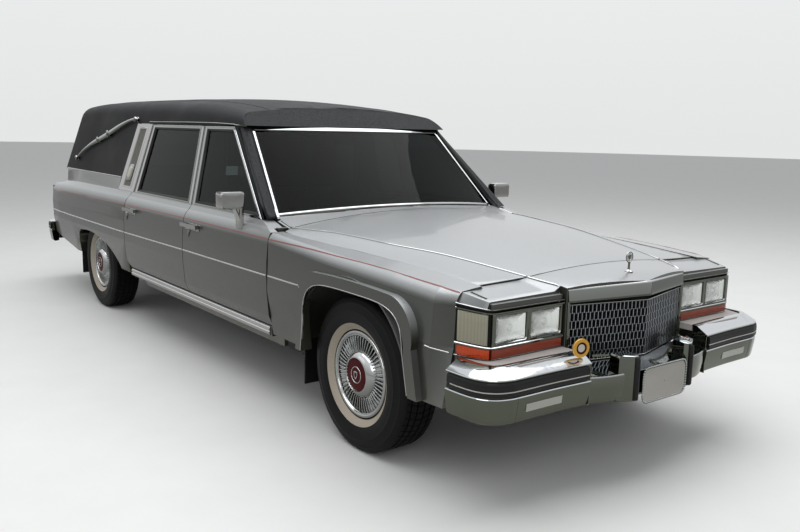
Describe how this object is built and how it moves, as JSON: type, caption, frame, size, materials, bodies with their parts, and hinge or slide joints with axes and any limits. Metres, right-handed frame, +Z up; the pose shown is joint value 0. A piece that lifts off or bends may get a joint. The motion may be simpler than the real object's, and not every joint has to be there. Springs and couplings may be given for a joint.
{
  "type": "hearse",
  "caption": "Long four-door hearse with a padded landau roof, rear loading door, pointed upright grille, rolling and steering wheels, opening doors and hood.",
  "frame": {"origin": "on the ground under the centre of the vehicle's length and width", "axes": "+X forward, +Y to the vehicle's left, +Z up"},
  "size_m": [6.15, 2.126, 1.6759],
  "materials": {
    "body_paint": "pale silver beige metallic paint, gloss",
    "vinyl": "dark charcoal grained vinyl over padding",
    "bright": "polished bright metal",
    "bright_trim": "polished window frame",
    "window_glass": "lightly tinted, polished",
    "lamp_glass": "clear pressed lens",
    "amber_lens": "orange pressed lens",
    "red_lens": "red pressed lens",
    "underbody": "matt black underbody paint",
    "iron": "dark cast iron",
    "engine_paint": "dark engine enamel",
    "tyre": "black rubber with a narrow whitewall",
    "wheel_cover": "finned bright wheel cover",
    "black_rubber": "satin black rubber",
    "seat_cloth": "dark upholstery",
    "cabin_plastic": "grained dark plastic",
    "lining": "dark carpet and drapes",
    "deck_wood": "varnished deck with bright rails"
  },
  "bodies": {
    "root": {"body_shell": "body_paint", "bumper_rubber": "black_rubber", "chassis_frame": "underbody", "dashboard": "cabin_plastic", "engine": "engine_paint", "exhaust": "iron", "front_bumper": "bright", "front_fender_left": "body_paint", "front_fender_right": "body_paint", "front_seat": "seat_cloth", "front_suspension": "iron", "fuel_tank": "underbody", "grille": "bright", "header_panel": "body_paint", "headlamps": "lamp_glass", "lamp_bezels": "bright", "lamp_panels": "bright_trim", "landau_bars": "bright", "load_deck": "deck_wood", "mudflaps": "black_rubber", "partition": "lining", "quarter_left": "body_paint", "quarter_right": "body_paint", "radiator": "underbody", "rear_axle": "iron", "rear_bumper": "bright", "rear_pan": "body_paint", "roof": "vinyl", "steering_column": "cabin_plastic", "tail_lamps": "red_lens", "turn_lamps": "amber_lens", "windshield": "window_glass"},
    "knuckle_left": {"knuckle_left": "iron"},
    "front_wheel_left": {"tyre_front_left": "tyre", "wheel_front_left": "wheel_cover"},
    "front_door_left": {"door_front_left": "body_paint", "door_front_frame_left": "bright_trim", "door_front_glass_left": "window_glass"},
    "rear_wheel_left": {"tyre_rear_left": "tyre", "wheel_rear_left": "wheel_cover"},
    "rear_door_left": {"door_rear_left": "body_paint", "door_rear_frame_left": "bright_trim", "door_rear_glass_left": "window_glass"},
    "knuckle_right": {"knuckle_right": "iron"},
    "front_wheel_right": {"tyre_front_right": "tyre", "wheel_front_right": "wheel_cover"},
    "front_door_right": {"door_front_right": "body_paint", "door_front_frame_right": "bright_trim", "door_front_glass_right": "window_glass"},
    "rear_wheel_right": {"tyre_rear_right": "tyre", "wheel_rear_right": "wheel_cover"},
    "rear_door_right": {"door_rear_right": "body_paint", "door_rear_frame_right": "bright_trim", "door_rear_glass_right": "window_glass"},
    "hood": {"hood": "body_paint"},
    "tail_door": {"tail_door": "body_paint", "tail_door_glass": "window_glass"},
    "steering_wheel": {"steering_wheel": "cabin_plastic"}
  },
  "joints": [
    {"name": "steer_left", "type": "hinge", "parent": "root", "child": "knuckle_left", "pos_m": [1.995, 0.69, 0.362], "axis": [0, 0, 1], "range_deg": [-35, 35]},
    {"name": "steer_right", "type": "hinge", "parent": "root", "child": "knuckle_right", "pos_m": [1.995, -0.69, 0.362], "axis": [0, 0, 1], "range_deg": [-35, 35]},
    {"name": "front_roll_left", "type": "hinge", "parent": "knuckle_left", "child": "front_wheel_left", "pos_m": [1.995, 0.783, 0.362], "axis": [0, 1, 0], "continuous": true},
    {"name": "front_roll_right", "type": "hinge", "parent": "knuckle_right", "child": "front_wheel_right", "pos_m": [1.995, -0.783, 0.362], "axis": [0, 1, 0], "continuous": true},
    {"name": "rear_roll_left", "type": "hinge", "parent": "root", "child": "rear_wheel_left", "pos_m": [-1.675, 0.783, 0.362], "axis": [0, 1, 0], "continuous": true},
    {"name": "rear_roll_right", "type": "hinge", "parent": "root", "child": "rear_wheel_right", "pos_m": [-1.675, -0.783, 0.362], "axis": [0, 1, 0], "continuous": true},
    {"name": "steering_wheel_turn", "type": "hinge", "parent": "root", "child": "steering_wheel", "pos_m": [0.64, 0.385, 0.88], "axis": [-0.9136, 0, 0.4067], "range_deg": [-490, 490]},
    {"name": "front_door_left_open", "type": "hinge", "parent": "root", "child": "front_door_left", "pos_m": [1.262, 0.96, 0.7], "axis": [0, 0, -1], "range_deg": [0, 65]},
    {"name": "front_door_right_open", "type": "hinge", "parent": "root", "child": "front_door_right", "pos_m": [1.262, -0.96, 0.7], "axis": [0, 0, 1], "range_deg": [0, 65]},
    {"name": "rear_door_left_open", "type": "hinge", "parent": "root", "child": "rear_door_left", "pos_m": [0.175, 0.96, 0.7], "axis": [0, 0, -1], "range_deg": [0, 65]},
    {"name": "rear_door_right_open", "type": "hinge", "parent": "root", "child": "rear_door_right", "pos_m": [0.175, -0.96, 0.7], "axis": [0, 0, 1], "range_deg": [0, 65]},
    {"name": "tail_door_open", "type": "hinge", "parent": "root", "child": "tail_door", "pos_m": [-2.6133, 0.666, 1.07], "axis": [0, 0, -1], "range_deg": [0, 90]},
    {"name": "hood_open", "type": "hinge", "parent": "root", "child": "hood", "pos_m": [1.283, 0, 1.03], "axis": [0, -1, 0], "range_deg": [0, 55]}
  ],
  "couplings": [
    {"joint": "steer_right", "follows": "steer_left", "ratio": 1},
    {"joint": "steering_wheel_turn", "follows": "steer_left", "ratio": 14}
  ]
}
